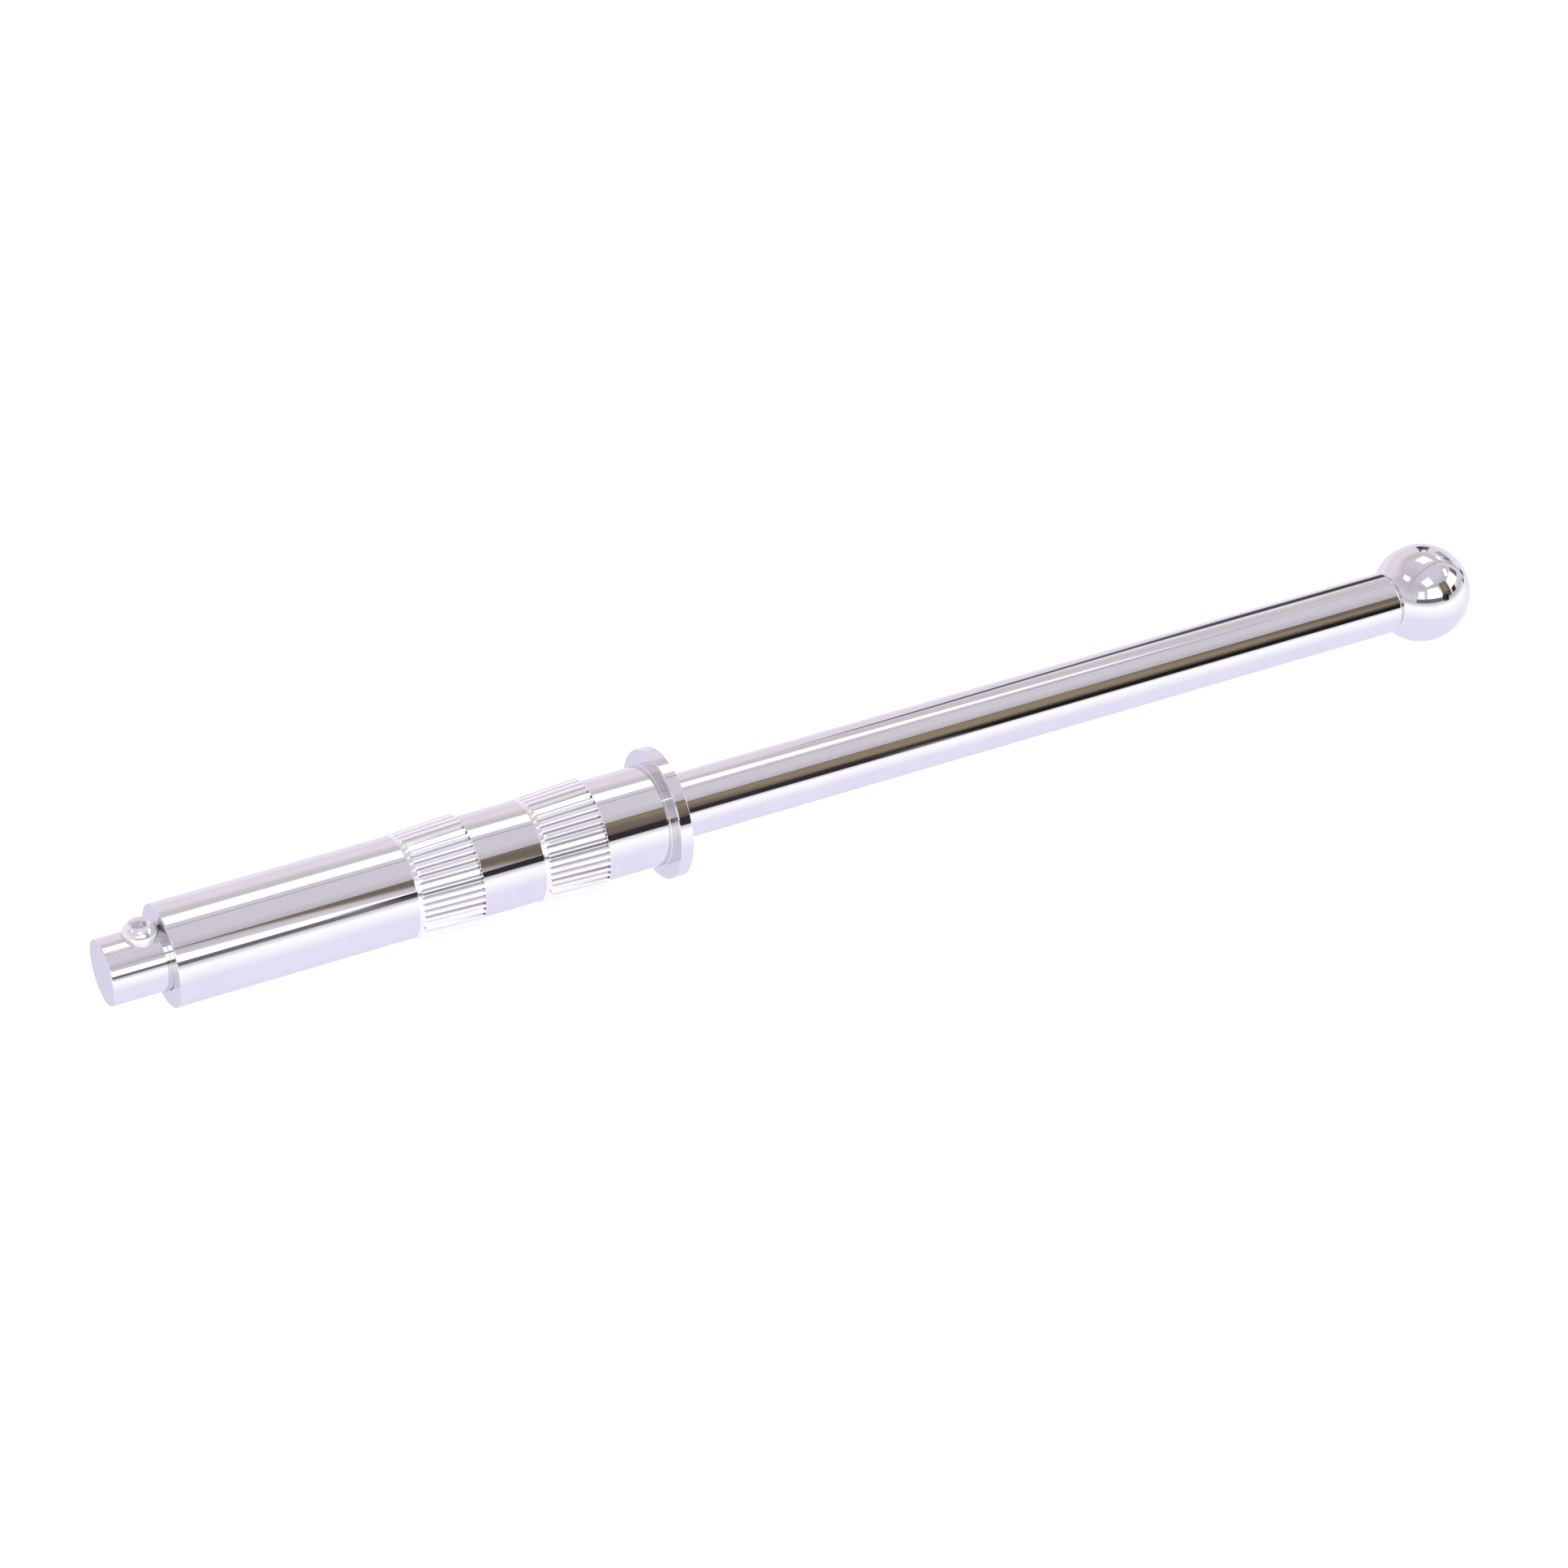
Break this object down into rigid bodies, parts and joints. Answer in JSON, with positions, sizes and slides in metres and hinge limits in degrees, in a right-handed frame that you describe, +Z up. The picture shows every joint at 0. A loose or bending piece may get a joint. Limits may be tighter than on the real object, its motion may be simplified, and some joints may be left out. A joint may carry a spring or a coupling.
{
  "type": "pull-out garment rod",
  "caption": "Chromed pull-out garment rod: a round bar with a ball end slides in a flanged, knurled barrel driven into a drilled panel.",
  "frame": {"origin": "centre of the flange's rear face, the face that seats on the panel", "axes": "+X along the rod towards the ball, +Z up with the stop screw on top, +Y completes a right-handed frame; the rod is fully out at rest"},
  "size_m": [0.3709, 0.032, 0.032],
  "materials": {
    "chrome_barrel": "mirror-polished chrome plate on turned steel",
    "chrome_knurl": "chrome plate over straight knurled teeth",
    "chrome_rod": "mirror-polished chrome plate on a solid steel bar and ball",
    "chrome_screw": "bright chrome plate on a socket button head screw",
    "plain_steel": "plain steel stud",
    "nylon": "natural nylon",
    "grip_rubber": "black nitrile rubber"
  },
  "bodies": {
    "barrel": {"barrel": "chrome_barrel", "flange": "chrome_barrel", "rear_knurled_band": "chrome_knurl", "front_knurled_band": "chrome_knurl", "rear_guide_bush": "nylon", "front_guide_bush": "nylon", "spacer_tube": "nylon"},
    "grip": {"rear_grip_ring": "grip_rubber", "front_grip_ring": "grip_rubber"},
    "rod": {"rod": "chrome_rod", "stop_screw": "chrome_screw", "finial_stud": "plain_steel", "ball_finial": "chrome_rod"}
  },
  "joints": [
    {"name": "rod_spin", "type": "hinge", "parent": "barrel", "child": "grip", "pos_m": [0, 0, 0], "axis": [1, 0, 0], "continuous": true},
    {"name": "rod_slide", "type": "slide", "parent": "grip", "child": "rod", "axis": [1, 0, 0], "range_m": [-0.207, 0]}
  ]
}
